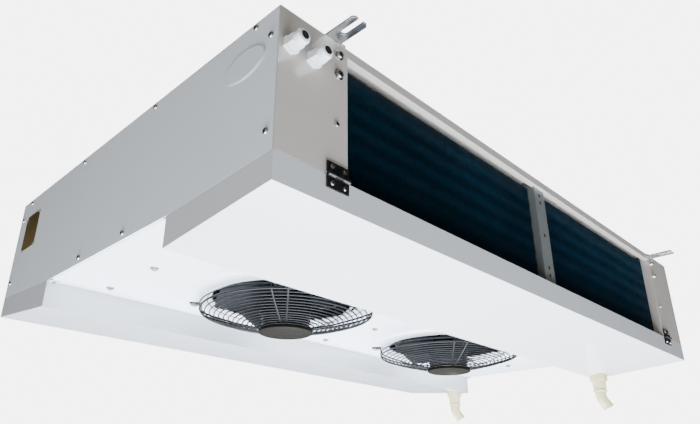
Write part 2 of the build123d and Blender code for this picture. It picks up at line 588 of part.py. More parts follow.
# ---------------------------------------------------------------- drain pans and hinges
drain_x = half_length - DRAIN_END
slope = (PAN_INNER_DEPTH - PAN_OUTER_DEPTH) / PAN_WIDTH
for side, side_name in ((front, "front"), (rear, "rear")):
    outer_y = side * half_width
    inner_y = side * pan_inner_y
    pan_top_z = split_z - PART_GAP
    pan_tab_z = deck_z - PART_GAP
    drain_y = side * (pan_inner_y + DRAIN_INSET)
    with BuildPart() as drain_pan:
        with BuildSketch(Plane.YZ):
            with BuildLine():
                Polyline(
                    (outer_y, pan_top_z),
                    (outer_y, split_z - PAN_OUTER_DEPTH),
                    (inner_y, split_z - PAN_INNER_DEPTH),
                    (inner_y, pan_tab_z),
                    close=True,
                )
            make_face()
        extrude(amount=half_length, both=True)
        with BuildSketch(Plane.YZ):
            with BuildLine():
                Polyline(
                    (outer_y - side * SHEET, pan_top_z + 20),
                    (outer_y - side * SHEET, split_z - PAN_OUTER_DEPTH + SHEET - slope * SHEET),
                    (inner_y + side * SHEET, split_z - PAN_INNER_DEPTH + SHEET + slope * SHEET),
                    (inner_y + side * SHEET, pan_tab_z + 20),
                    close=True,
                )
            make_face()
        extrude(amount=inside_x, both=True, mode=Mode.SUBTRACT)
        for end in (left, right):
            tab_x = end * (half_length - SHEET)
            tab_y = inner_y - side * PAN_TAB_REACH
            slab(tab_x, tab_x - end * PAN_TAB_LENGTH, inner_y, tab_y, pan_tab_z - SHEET, pan_tab_z)
        with Locations((drain_x, drain_y, split_z - PAN_INNER_DEPTH)):
            Cylinder(DRAIN_HOLE_RADIUS, 30, mode=Mode.SUBTRACT)
    keep(drain_pan.part, f"{side_name}_drain_pan")

    pan_floor_z = split_z - PAN_INNER_DEPTH + slope * DRAIN_INSET
    hex_low_z = pan_floor_z - DRAIN_HEX_HEIGHT
    with BuildPart() as drain_nut:
        with BuildSketch(Plane.XY.offset(hex_low_z)):
            with Locations((drain_x, drain_y)):
                RegularPolygon(DRAIN_HEX_RADIUS, 6)
        extrude(amount=DRAIN_HEX_HEIGHT + 10)
        with BuildSketch(Plane.YZ.offset(drain_x)):
            with BuildLine():
                Polyline(
                    (inner_y - side * 30, split_z - PAN_INNER_DEPTH - slope * 30),
                    (inner_y + side * 80, split_z - PAN_INNER_DEPTH + slope * 80),
                    (inner_y + side * 80, split_z),
                    (inner_y - side * 30, split_z),
                    close=True,
                )
            make_face()
        extrude(amount=60, both=True, mode=Mode.SUBTRACT)
        shank_length = DRAIN_HEX_HEIGHT + DRAIN_SHANK_RISE
        rod((drain_x, drain_y, hex_low_z), (0, 0, 1), DRAIN_SHANK_RADIUS, shank_length)
        rod((drain_x, drain_y, hex_low_z - 1), (0, 0, 1), DRAIN_BORE_RADIUS, 60, Mode.SUBTRACT)
    keep(drain_nut.part, f"{side_name}_drain_nut")

    spigot_low_z = hex_low_z - SPIGOT_LENGTH
    collar_low_z = spigot_low_z - COLLAR_HEIGHT
    elbow = Vector(drain_x, drain_y, collar_low_z - SPOUT_DROP)
    across = Vector(cos(radians(-45)), sin(radians(-45)), 0)
    spout_dir = across * sin(radians(SPOUT_TILT)) - Vector(0, 0, 1) * cos(radians(SPOUT_TILT))
    with BuildPart() as drain_spout:
        with BuildLine() as spout_path:
            Polyline((drain_x, drain_y, hex_low_z), elbow, elbow + spout_dir * SPOUT_REACH)
        with BuildSketch(Plane(origin=(drain_x, drain_y, hex_low_z), z_dir=(0, 0, -1))):
            Circle(SPOUT_RADIUS)
        sweep(path=spout_path.wires()[0], transition=Transition.RIGHT)
        rod((drain_x, drain_y, spigot_low_z), (0, 0, 1), SPIGOT_RADIUS, SPIGOT_LENGTH)
        rod((drain_x, drain_y, collar_low_z), (0, 0, 1), COLLAR_RADIUS, COLLAR_HEIGHT)
        lip_foot = elbow + spout_dir * (SPOUT_REACH - SPOUT_LIP_LENGTH)
        rod(lip_foot, spout_dir, SPOUT_RADIUS + SPOUT_LIP, SPOUT_LIP_LENGTH)
        with BuildSketch(Plane(origin=(drain_x, drain_y, hex_low_z), z_dir=(0, 0, -1))):
            Circle(DRAIN_BORE_RADIUS)
        sweep(path=spout_path.wires()[0], transition=Transition.RIGHT, mode=Mode.SUBTRACT)
    keep(drain_spout.part, f"{side_name}_drain_spout")

    leaf_y = side * (half_width + LEAF_THICKNESS)
    pin_y = side * hinge_y
    bore_radius = HINGE_PIN_RADIUS + RUNNING_FIT
    clear_z = KNUCKLE_RADIUS + PART_GAP
    side_knuckle = (HINGE_WIDTH - MIDDLE_KNUCKLE) / 2 - PART_GAP
    with BuildPart() as upper_leaves:
        for end in (left, right):
            x = end * (half_length - HINGE_X)
            x0 = x - HINGE_WIDTH / 2
            mid_x = x - MIDDLE_KNUCKLE / 2
            slab(x0, x0 + HINGE_WIDTH, outer_y, leaf_y, split_z + clear_z, split_z + LEAF_HEIGHT)
            slab(mid_x, mid_x + MIDDLE_KNUCKLE, outer_y, leaf_y, split_z + 1, split_z + clear_z)
            add(knuckle(mid_x, pin_y, MIDDLE_KNUCKLE))
            rod((x0, pin_y, split_z), (1, 0, 0), HINGE_PIN_RADIUS, HINGE_WIDTH)
    keep(upper_leaves.part, f"{side_name}_upper_leaves")

    with BuildPart() as lower_leaves:
        for end in (left, right):
            x = end * (half_length - HINGE_X)
            x0 = x - HINGE_WIDTH / 2
            slab(x0, x0 + HINGE_WIDTH, outer_y, leaf_y, split_z - LEAF_HEIGHT, split_z - clear_z)
            for knuckle_x in (x0, x0 + HINGE_WIDTH - side_knuckle):
                slab(knuckle_x, knuckle_x + side_knuckle, outer_y, leaf_y, split_z - clear_z, split_z - 1)
                add(knuckle(knuckle_x, pin_y, side_knuckle))
            rod((x0 - 1, pin_y, split_z), (1, 0, 0), bore_radius, HINGE_WIDTH + 2, Mode.SUBTRACT)
    keep(lower_leaves.part, f"{side_name}_lower_leaves")
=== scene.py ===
"""Looks of a ceiling-hung, dual-discharge unit cooler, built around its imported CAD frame.

Every length in the script is in metres unless a name says millimetres. X runs along the casing, Y across it
and Z up, with the origin on top of the hanger tongues.
"""
from __future__ import annotations

import logging
import math
import random
import sys
from dataclasses import dataclass
from enum import Enum
from typing import Sequence

import bmesh
import bpy
from bmesh.types import BMesh
from mathutils import Matrix, Vector

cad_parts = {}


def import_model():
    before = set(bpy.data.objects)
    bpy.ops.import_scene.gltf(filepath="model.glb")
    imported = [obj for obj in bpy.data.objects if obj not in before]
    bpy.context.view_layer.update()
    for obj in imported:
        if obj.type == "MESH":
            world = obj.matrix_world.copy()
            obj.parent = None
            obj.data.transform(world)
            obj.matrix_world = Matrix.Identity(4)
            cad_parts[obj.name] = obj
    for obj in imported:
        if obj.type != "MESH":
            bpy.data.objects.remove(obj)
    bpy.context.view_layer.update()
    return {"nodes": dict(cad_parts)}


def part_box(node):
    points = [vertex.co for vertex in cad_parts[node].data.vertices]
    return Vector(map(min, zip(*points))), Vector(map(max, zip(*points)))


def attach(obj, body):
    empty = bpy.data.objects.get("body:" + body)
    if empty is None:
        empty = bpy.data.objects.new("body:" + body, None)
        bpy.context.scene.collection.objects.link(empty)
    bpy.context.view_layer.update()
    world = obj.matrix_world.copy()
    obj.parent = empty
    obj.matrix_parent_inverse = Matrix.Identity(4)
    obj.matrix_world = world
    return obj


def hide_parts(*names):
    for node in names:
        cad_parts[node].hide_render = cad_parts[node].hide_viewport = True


MM = 0.001
LOG = logging.getLogger("unit_cooler")
FRONT, REAR = -1, 1
LEFT, RIGHT = -1, 1
MIX_FACTOR, MIX_A, MIX_B, MIX_COLOUR = 0, 6, 7, 2  # a Mix node's sockets for colour
DOWN = Vector((0, 0, -1))
SIDE_NAMES = {FRONT: "front", REAR: "rear"}
END_NAMES = {LEFT: "left", RIGHT: "right"}


# ------------------------------ colour and finishes
def colour(hex_code: str) -> tuple[float, float, float, float]:
    """Turn an sRGB hex colour into Blender's linear colour.

    Args:
        hex_code: six hexadecimal digits.

    Returns:
        Linear red, green, blue and alpha.
    """
    channels = [int(hex_code[i : i + 2], 16) / 255 for i in (0, 2, 4)]
    linear = [c / 12.92 if c <= 0.04045 else ((c + 0.055) / 1.055) ** 2.4 for c in channels]
    return (*linear, 1.0)


class Grain(Enum):
    """Surface relief that a finish carries."""

    NONE = "none"
    ORANGE_PEEL = "orange_peel"
    BRUSHED = "brushed"
    CAST = "cast"


@dataclass(frozen=True)
class Finish:
    """One real material and its finish."""

    name: str  # material name in Blender
    base: str  # sRGB base colour
    worn: str  # sRGB colour that slow variation blends toward
    roughness: float  # mean roughness
    spread: float = 0.04  # how far roughness wanders around its mean
    metal: float = 0.0  # metallic share
    coat: float = 0.0  # clear coat weight
    grain: Grain = Grain.NONE  # kind of relief
    grain_mm: float = 3.0  # size of the relief's grains
    relief: float = 0.05  # bump strength
    sheen_through: float = 0.0  # subsurface weight, for translucent plastics
    gloss: float = 0.5  # specular level of a surface that isn't metal
    glow: float = 0.0  # light that the surface gives off by itself, for the studio floor


# Gloss polyester powder over galvanised sheet: a soft mirror of the room, with a faint orange peel.
POWDER_WHITE = Finish(
    "White powder coat, gloss", "E6EAEC", "DDE2E6", 0.2, 0.04, coat=0.5, relief=0.03, grain=Grain.ORANGE_PEEL
)
# The same coat on the casing's posts and fascia, a shade darker and warmer: this darker copy of the white
# coat is painted shade.
POWDER_POST_SHADED = Finish(
    "White powder coat, posts, painted shade", "C4BEB5", "BBB5AB", 0.16, 0.03, coat=0.5, relief=0.03, grain=Grain.ORANGE_PEEL
)
# The pans' coat, between the two: lit hard from below it reads nearly white, on its outer walls grey.
POWDER_PAN = Finish(
    "White powder coat, pans", "CFD0D0", "C8C9CA", 0.18, 0.03, coat=0.5, relief=0.03, grain=Grain.ORANGE_PEEL
)
# Blue epoxy film on thin aluminium fins: so deep that it reads as nearly black out of the light.
FIN_COAT = Finish("Blue epoxy-coated fin stock", "071D2B", "0D3548", 0.42, 0.08)
# Drawn copper tube after a year in store: brown-pink with dull patches.
COPPER = Finish(
    "Copper tube, tarnished", "B06A48", "7D4A34", 0.34, 0.1, metal=1.0, grain=Grain.BRUSHED, grain_mm=2.0
)
# Galvanised coil plates, dull grey with soft patches.
GALVANISED = Finish(
    "Galvanised sheet", "9DA1A3", "858A8D", 0.42, 0.1, metal=0.9, grain=Grain.CAST, grain_mm=9.0
)
# Grey coated sheet of the coil supports.
SUPPORT_GREY = Finish("Grey coated sheet", "6F726F", "646764", 0.38, 0.06, coat=0.15, grain=Grain.ORANGE_PEEL)
# Hanger tongues, cold-rolled stainless with a fine rolled grain.
STAINLESS = Finish(
    "Stainless sheet, rolled", "C9CBCC", "B4B7B9", 0.24, 0.07, metal=1.0, grain=Grain.BRUSHED, grain_mm=0.8
)
# Zinc plated screws, brighter than the stainless and slightly yellow.
ZINC = Finish("Zinc plated steel", "B9B8B2", "8F8E88", 0.3, 0.08, metal=1.0, grain=Grain.CAST, grain_mm=1.2)
# Satin black dip on the guard wires: dark, with a thin line of light along each wire.
WIRE_BLACK = Finish("Black dipped wire", "050607", "08090B", 0.34, 0.06, gloss=0.18)
# Dull black electrocoat on the rotor, the motor body and the throat's ring.
ROTOR_BLACK = Finish(
    "Black electrocoat", "050607", "090A0C", 0.36, 0.07, grain=Grain.ORANGE_PEEL, grain_mm=1.5, gloss=0.08
)
# Die-cast motor cap, dark with a brown cast.
CAP_DARK = Finish(
    "Dark die-cast cap", "0C0B06", "100E08", 0.42, 0.06, grain=Grain.CAST, grain_mm=1.0, gloss=0.05
)
# Black nylon hinges.
HINGE_BLACK = Finish("Black nylon", "0B0C0D", "121315", 0.36, 0.06, grain=Grain.CAST, grain_mm=0.8)
# White polyamide glands, slightly milky.
GLAND_WHITE = Finish("White polyamide", "F1F3F3", "E7EAEA", 0.28, 0.04, sheen_through=0.15)
# Ivory drain fittings, aged and waxy.
DRAIN_IVORY = Finish("Ivory plastic", "DDD0A8", "CBBB8E", 0.33, 0.05, sheen_through=0.2)
# Light grey cable sheath.
CABLE_GREY = Finish("Grey cable sheath", "B9BBBC", "A4A6A7", 0.45, 0.05)
# Etched bronze plate, left blank.
PLATE_BRONZE = Finish(
    "Etched bronze plate", "8A7446", "6E5B37", 0.38, 0.07, metal=0.75, grain=Grain.BRUSHED, grain_mm=1.0
)
# Pearl grey edge of the blank badge, a shade darker than the panel.
BADGE_RIM = Finish("Pearl plastic rim", "C9CDD2", "BFC3C9", 0.3, 0.04)
# Black rubber of the gland seals; the same black also stands as painted shade in each screw head's recess,
# the coil supports' holes and the spout's mouth.
RUBBER_AND_SHADE = Finish("Black rubber and painted shade", "0B0B0C", "121213", 0.6, 0.05)
# Off-white thermoplastic of the terminal block.
BLOCK_WHITE = Finish("Off-white thermoplastic", "E4E2D8", "D8D5C8", 0.4, 0.05)
# Matt floor that glows slightly, so that it stays pale from every side.
FLOOR = Finish("Pale studio floor", "F2F2F2", "EFEFEF", 0.6, 0.03, gloss=0.1, glow=1.1)


class MaterialLibrary:
    """Builds each finish once, as procedural nodes that read Object coordinates."""

    def __init__(self) -> None:
        """Start with no material made."""
        self._made: dict[str, bpy.types.Material] = {}

    def get(self, finish: Finish) -> bpy.types.Material:
        """Return the material of a finish.

        Args:
            finish: the finish to build or look up.

        Returns:
            The Blender material.
        """
        if finish.name not in self._made:
            self._made[finish.name] = self._build(finish)
        return self._made[finish.name]

    @staticmethod
    def _add(tree: bpy.types.NodeTree, kind: str, **sockets: object) -> bpy.types.Node:
        """Add a node and set its input values.

        Args:
            tree: node tree to add to.
            kind: Blender's name of the node type.
            sockets: values by socket name, with underscores for spaces.

        Returns:
            The new node.
        """
        node = tree.nodes.new(kind)
        for key, value in sockets.items():
            node.inputs[key.replace("_", " ")].default_value = value
        return node

    def _build(self, finish: Finish) -> bpy.types.Material:
        """Build one finish: slow colour drift, wandering roughness and a fine relief.

        Args:
            finish: the finish to build.

        Returns:
            The new material.
        """
        material = bpy.data.materials.new(finish.name)
        material.use_nodes = True
        tree = material.node_tree
        shader = tree.nodes["Principled BSDF"]
        link = tree.links.new
        place = tree.nodes.new("ShaderNodeTexCoord")

        drift = self._add(tree, "ShaderNodeTexNoise", Scale=5.0, Detail=3.0, Roughness=0.55)
        link(place.outputs["Object"], drift.inputs["Vector"])
        blend = tree.nodes.new("ShaderNodeMix")
        blend.data_type = "RGBA"
        for socket, shade in ((MIX_A, finish.base), (MIX_B, finish.worn)):
            blend.inputs[socket].default_value = colour(shade)
        link(drift.outputs["Fac"], blend.inputs[MIX_FACTOR])
        link(blend.outputs[MIX_COLOUR], shader.inputs["Base Color"])

        smudge = self._add(tree, "ShaderNodeTexNoise", Scale=22.0, Detail=4.0, Roughness=0.6)
        link(place.outputs["Object"], smudge.inputs["Vector"])
        smooth, dull = finish.roughness - finish.spread, finish.roughness + finish.spread
        limits = {"From_Min": 0.3, "From_Max": 0.7, "To_Min": smooth, "To_Max": dull}
        rough = self._add(tree, "ShaderNodeMapRange", **limits)
        link(smudge.outputs["Fac"], rough.inputs["Value"])
        link(rough.outputs["Result"], shader.inputs["Roughness"])

        shader.inputs["Metallic"].default_value = finish.metal
        shader.inputs["Specular IOR Level"].default_value = finish.gloss
        shader.inputs["Coat Weight"].default_value = finish.coat
        shader.inputs["Coat Roughness"].default_value = 0.08
        if finish.glow:
            shader.inputs["Emission Color"].default_value = colour(finish.base)
            shader.inputs["Emission Strength"].default_value = finish.glow
        if finish.sheen_through:
            shader.inputs["Subsurface Weight"].default_value = finish.sheen_through
            shader.inputs["Subsurface Radius"].default_value = (0.004, 0.003, 0.002)
        if finish.grain is not Grain.NONE:
            self._relief(tree, finish, place, shader)
        return material

    def _relief(
        self, tree: bpy.types.NodeTree, finish: Finish, place: bpy.types.Node, shader: bpy.types.Node
    ) -> None:
        """Add the bump of a finish's grain.

        Args:
            tree: node tree of the material.
            finish: the finish, for its grain.
            place: texture coordinate node.
            shader: surface shader that takes the bump.
        """
        link = tree.links.new
        source = place.outputs["Object"]
        if finish.grain is Grain.BRUSHED:
            stretch = self._add(tree, "ShaderNodeMapping", Scale=(0.06, 1.0, 1.0))
            link(source, stretch.inputs["Vector"])
            source = stretch.outputs["Vector"]
        grain = self._add(tree, "ShaderNodeTexNoise", Scale=1.0 / (finish.grain_mm * MM), Detail=2.0)
        link(source, grain.inputs["Vector"])
        bump = self._add(tree, "ShaderNodeBump", Strength=finish.relief, Distance=0.0006)
        link(grain.outputs["Fac"], bump.inputs["Height"])
        link(bump.outputs["Normal"], shader.inputs["Normal"])


LIBRARY = MaterialLibrary()


# ------------------------------ making pieces
def piece(name: str, mesh: BMesh, finish: Finish, body: str, smooth_deg: float = 35.0) -> bpy.types.Object:
    """Turn a finished bmesh into a named piece that rides on a CAD body.

    Args:
        name: object name.
        mesh: the mesh, in the part's own frame; it is freed.
        finish: its finish.
        body: CAD body it moves with.
        smooth_deg: faces that meet at less than this angle are shaded smooth.

    Returns:
        The new object.
    """
    bmesh.ops.recalc_face_normals(mesh, faces=mesh.faces)
    data = bpy.data.meshes.new(name)
    mesh.to_mesh(data)
    mesh.free()
    data.materials.append(LIBRARY.get(finish))
    for polygon in data.polygons:
        polygon.use_smooth = True
    data.set_sharp_from_angle(angle=math.radians(smooth_deg))
    thing = bpy.data.objects.new(name, data)
    bpy.context.scene.collection.objects.link(thing)
    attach(thing, body)
    LOG.info("piece %s: %d faces on %s", name, len(data.polygons), body)
    return thing


def pose(origin: Sequence[float], axis: Sequence[float]) -> Matrix:
    """Return the matrix that carries +Z at the world origin to an axis at a point.

    Args:
        origin: the point.
        axis: the axis, of any length.

    Returns:
        A four by four matrix without scale.
    """
    turn = Vector((0, 0, 1)).rotation_difference(Vector(axis).normalized())
    return Matrix.Translation(Vector(origin)) @ turn.to_matrix().to_4x4()


def drum(
    mesh: BMesh, origin: Sequence[float], axis: Sequence[float], radius: float, height: float,
    segments: int = 24, round_top: float = 0.0,
) -> None:
    """Add a round or many-sided bar that starts at a point and runs along an axis.

    Args:
        mesh: mesh to add to.
        origin: centre of its foot.
        axis: direction it runs in.
        radius: radius of its foot.
        height: its length.
        segments: sides.
        round_top: width of the rounding at its far edge.
    """
    matrix = pose(origin, axis) @ Matrix.Translation((0, 0, height / 2))
    made = bmesh.ops.create_cone(
        mesh, cap_ends=True, segments=segments, radius1=radius, radius2=radius, depth=height, matrix=matrix
    )
    if round_top:
        far = pose(origin, axis) @ Vector((0, 0, height))
        direction = Vector(axis).normalized()
        edges = {
            e
            for v in made["verts"]
            for e in v.link_edges
            if all(abs((w.co - far).dot(direction)) < 1e-6 for w in e.verts)
        }
        bmesh.ops.bevel(
            mesh, geom=list(edges), offset=round_top, segments=2, profile=0.5, affect="EDGES", material=-1
        )


def block(mesh: BMesh, low: Sequence[float], high: Sequence[float], edge: float = 0.0) -> None:
    """Add a box between two corners.

    Args:
        mesh: mesh to add to.
        low: lowest corner.
        high: highest corner.
        edge: width of the rounding along its edges.
    """
    low, high = Vector(low), Vector(high)
    size = high - low
    matrix = Matrix.Translation((low + high) / 2) @ Matrix.Diagonal((*size, 1.0))
    made = bmesh.ops.create_cube(mesh, size=1.0, matrix=matrix)
    if edge:
        edges = list({e for v in made["verts"] for e in v.link_edges})
        bmesh.ops.bevel(mesh, geom=edges, offset=edge, segments=2, profile=0.5, affect="EDGES", material=-1)


def ring(mesh: BMesh, centre: Vector, radius: float, wire: float, steps: int = 72, sides: int = 8) -> None:
    """Add a round wire ring in a level plane, by spinning the wire's section about an upright axis.

    Args:
        mesh: mesh to add to.
        centre: centre of the ring.
        radius: from the centre to the wire's middle.
        wire: thickness of the wire.
        steps: sections around the ring.
        sides: sides of a section.
    """
    start = pose(centre + Vector((radius, 0, 0)), (0, 1, 0))
    made = bmesh.ops.create_circle(mesh, cap_ends=False, segments=sides, radius=wire / 2, matrix=start)
    edges = list({e for v in made["verts"] for e in v.link_edges})
    bmesh.ops.spin(
        mesh, geom=edges, cent=centre, axis=(0, 0, 1), angle=math.tau, steps=steps, use_merge=True,
        use_duplicate=False,
    )
    bmesh.ops.remove_doubles(mesh, verts=list({v for v in mesh.verts if v.is_boundary}), dist=1e-6)


def tube(mesh: BMesh, points: Sequence[Vector], radius: float, sides: int = 8) -> None:
    """Add a closed round line through the points, one section at each point joined to the next.

    Args:
        mesh: mesh to add to.
        points: middle line, two points or more.
        radius: radius of a section.
        sides: sides of a section.
    """
    last: list[bmesh.types.BMEdge] = []
    for index, point in enumerate(points):
        before = points[max(index - 1, 0)]
        after = points[min(index + 1, len(points) - 1)]
        heading = (after - before).normalized()
        frame = heading.to_track_quat("Z", "X").to_matrix().to_4x4()
        matrix = Matrix.Translation(point) @ frame
        cap = index in (0, len(points) - 1)
        made = bmesh.ops.create_circle(mesh, cap_ends=cap, segments=sides, radius=radius, matrix=matrix)
        edges = list({e for v in made["verts"] for e in v.link_edges})
        if last:
            bmesh.ops.bridge_loops(mesh, edges=last + edges)
        last = edges


def rounded_path(points: Sequence[Vector], bend: float, steps: int = 5) -> list[Vector]:
    """Return the points with each inner corner replaced by a short curve.

    Args:
        points: corners of the path.
        bend: how far from a corner its curve starts.
        steps: points of the curve.

    Returns:
        The new path, from the same first point to the same last one.
    """
    path = [points[0]]
    for before, corner, after in zip(points, points[1:], points[2:]):
        reach_in = min(bend, (corner - before).length * 0.45)
        reach_out = min(bend, (after - corner).length * 0.45)
        start = corner + (before - corner).normalized() * reach_in
        end = corner + (after - corner).normalized() * reach_out
        for step in range(steps + 1):
            t = step / steps
            path.append(start * (1 - t) ** 2 + corner * (2 * t * (1 - t)) + end * t**2)
    path.append(points[-1])
    return path


def softened(node: str, finish: Finish, body: str, edge_mm: float) -> bpy.types.Object:
    """Show a CAD sheet with its folds and cut edges slightly rounded.

    Args:
        node: CAD node the piece stands for.
        finish: its finish.
        body: CAD body it moves with.
        edge_mm: width of the rounding.

    Returns:
        The new piece.
    """
    mesh = bmesh.new()
    mesh.from_mesh(FRAME["nodes"][node].data)
    bmesh.ops.remove_doubles(mesh, verts=mesh.verts, dist=2e-6)
    bmesh.ops.dissolve_limit(mesh, angle_limit=math.radians(0.5), verts=mesh.verts, edges=mesh.edges)
    thing = piece(f"{node}_skin", mesh, finish, body)
    bevel = thing.modifiers.new("soft edges", "BEVEL")
    bevel.width = edge_mm * MM
    bevel.segments = 2
    bevel.limit_method = "ANGLE"
    bevel.angle_limit = math.radians(50)
    bevel.harden_normals = True
    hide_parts(node)
    return thing


def screw_head(
    mesh: BMesh, dark: BMesh, origin: Sequence[float], axis: Sequence[float], radius: float
) -> None:
    """Add a cross-recessed pan head, with painted shade for its recess: a dark cross in a second mesh.

    Args:
        mesh: mesh of the heads.
        dark: mesh of the painted shade in each recess.
        origin: centre of the head's seat.
        axis: direction the head faces.
        radius: radius of the head.
    """
    drum(mesh, origin, axis, radius, radius * 0.62, 20, radius * 0.3)
    direction = Vector(axis).normalized()
    top = Vector(origin) + direction * radius * 0.6
    side = direction.orthogonal().normalized()
    other = direction.cross(side)
    # Two flat dark bars crossed on the head's top: painted shade for the recess.
    for along, across in ((side, other), (other, side)):
        basis = Matrix((along, across, direction)).transposed().to_4x4()
        scale = Matrix.Diagonal((radius * 1.05, radius * 0.26, radius * 0.1, 1.0))
        bmesh.ops.create_cube(dark, size=1.0, matrix=Matrix.Translation(top) @ basis @ scale)


@dataclass(frozen=True)
class Fixing:
    """One kind of screw or bolt."""

    head: float  # radius of its head
    washer: float = 0.0  # radius of its washer, or 0 for none
    thickness: float = 0.0  # thickness of the washer
    sides: int = 24  # sides that the washer is drawn with
    edge: float = 0.0  # rounding of the washer's rim


PANEL_SCREW = Fixing(0.0046)
POST_SCREW = Fixing(0.0040)
LEAF_SCREW = Fixing(0.0036)
PAN_SCREW = Fixing(0.0038)
DECK_BOLT = Fixing(0.0055, 0.0080, 0.0012, 24, 0.0004)
GUARD_BOLT = Fixing(0.0052, 0.0075, 0.0012, 24, 0.0003)
HANGER_BOLT = Fixing(0.0062, 0.0084, 0.0016, 32, 0.0004)


def fixings(stem: str, kind: Fixing, seats: Sequence[tuple[Vector, Vector]], body: str) -> None:
    """Add a set of like fasteners: their heads as one piece, the painted shade in each recess as another.

    Args:
        stem: name of one of them.
        kind: its sizes.
        seats: for each, the centre of its seat and the direction that it faces.
        body: CAD body they move with.
    """
    heads, recess_shade = bmesh.new(), bmesh.new()
    for spot, facing in seats:
        if kind.washer:
            drum(heads, spot, facing, kind.washer, kind.thickness, kind.sides, kind.edge)
        screw_head(heads, recess_shade, spot + facing * kind.thickness, facing, kind.head)
    piece(f"{stem}s", heads, ZINC, body)
    # Painted shade of the recess in each head.
    piece(f"{stem}_recesses", recess_shade, RUBBER_AND_SHADE, body)


# ------------------------------ sub-assemblies
@dataclass
class Casing:
    """Folded sheet casing: roof, posts, end panels, deck and coil supports, with their fixings."""

    half_length: float  # from the middle to an end
    half_width: float  # from the middle to a coil side
    split: float  # height of the line between casing and pans
    roof: float  # height of the roof's outside
    # End panel screws above the split: top row, upper, lower, bottom row.
    screw_rises: tuple[float, ...] = (0.2105, 0.178, 0.030, -0.0015)
    screw_edge: float = 0.016  # side columns of those screws, from the panel's edge
    # Screws of the top row, in millimetres from the front edge.
    top_row_mm: tuple[int, ...] = (50, 317, 583, 850)
    foot_row_mm: tuple[int, ...] = (370, 530)  # screws of the bottom row, likewise
    deck_bolt_x: tuple[float, ...] = (-0.600, -0.008, 0.600)  # columns of deck bolts
    deck_bolt_y: tuple[float, ...] = (-0.167, 0.0, 0.167)  # rows of deck bolts
    # Post screws, from the casing's end and above the split.
    post_screw: tuple[float, float] = (0.107, 0.082)
    # Ring pressed around a fan: radius, width and depth of its middle in the deck.
    pressed: tuple[float, float, float] = (0.212, 0.006, 0.0012)
    # Upper holes of a coil support, down from the roof.
    holes_below_roof: tuple[float, ...] = (0.030, 0.046)
    holes_above_split: tuple[float, ...] = (0.102, 0.034, 0.018)  # its lower holes, up from the split
    hole_radius: float = 0.0038  # radius of such a hole
    disc: float = 0.0003  # thickness of the dark disc of painted shade that shows a hole

    def build(self) -> None:
        """Build every visible sheet of the casing with its fixings."""
        # The shell takes the darker copy of the white coat: painted shade.
        softened("casing_shell", POWDER_POST_SHADED, "casing", 0.5)
        for end in END_NAMES.values():
            softened(f"{end}_end_panel", POWDER_WHITE, "casing", 0.4)
        softened("fan_deck", POWDER_WHITE, "casing", 0.4)
        for side in SIDE_NAMES.values():
            softened(f"{side}_coil_support", SUPPORT_GREY, "casing", 0.5)
        self._end_screws()
        self._deck_details()
        self._support_holes()
        self._post_screws()

    def _end_screws(self) -> None:
        """Pan-head screws that hold the two end panels to the casing's flanges."""
        top, upper, lower, foot = [self.split + rise for rise in self.screw_rises]
        middle = self.half_width
        spots = [(y * MM - middle, top) for y in self.top_row_mm]
        spots += [(side * (middle - self.screw_edge), z) for side in (FRONT, REAR) for z in (upper, lower)]
        spots += [(y * MM - middle, foot) for y in self.foot_row_mm]
        for end, name in END_NAMES.items():
            seats = [(Vector((end * self.half_length, y, z)), Vector((end, 0, 0))) for y, z in spots]
            fixings(f"{name}_end_screw", PANEL_SCREW, seats, "casing")

    def _deck_details(self) -> None:
        """Deck bolts with washers, and the pressed ring around each fan opening."""
        deck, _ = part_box("fan_deck")
        seats = [(Vector((x, y, deck.z)), DOWN) for x in self.deck_bolt_x for y in self.deck_bolt_y]
        fixings("deck_bolt", DECK_BOLT, seats, "casing")
        beads = bmesh.new()
        radius, width, depth = self.pressed
        for end in (LEFT, RIGHT):
            ring(beads, Vector((end * FanUnit.offset, 0, deck.z + depth)), radius, width, 96)
        piece("deck_pressed_rings", beads, POWDER_WHITE, "casing")

    def _support_holes(self) -> None:
        """Dark discs of painted shade where the coil supports are pierced."""
        for side, name in SIDE_NAMES.items():
            low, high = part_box(f"{name}_coil_support")
            face = low.y if side == FRONT else high.y
            holes = bmesh.new()
            upper = [self.roof - drop for drop in self.holes_below_roof]
            for z in upper + [self.split + rise for rise in self.holes_above_split]:
                # A thin dark disc on the sheet's face: painted shade in the hole.
                drum(holes, (0.0, face - side * 0.0002, z), (0, side, 0), self.hole_radius, self.disc, 20)
            piece(f"{name}_support_hole_shade", holes, RUBBER_AND_SHADE, "casing")

    def _post_screws(self) -> None:
        """Small screw low on each corner post."""
        inset, rise = self.post_screw
        x, z = self.half_length - inset, self.split + rise
        seats = [
            (Vector((end * x, side * self.half_width, z)), Vector((0, side, 0)))
            for side in (FRONT, REAR)
            for end in (LEFT, RIGHT)
        ]
        fixings("post_screw", POST_SCREW, seats, "casing")


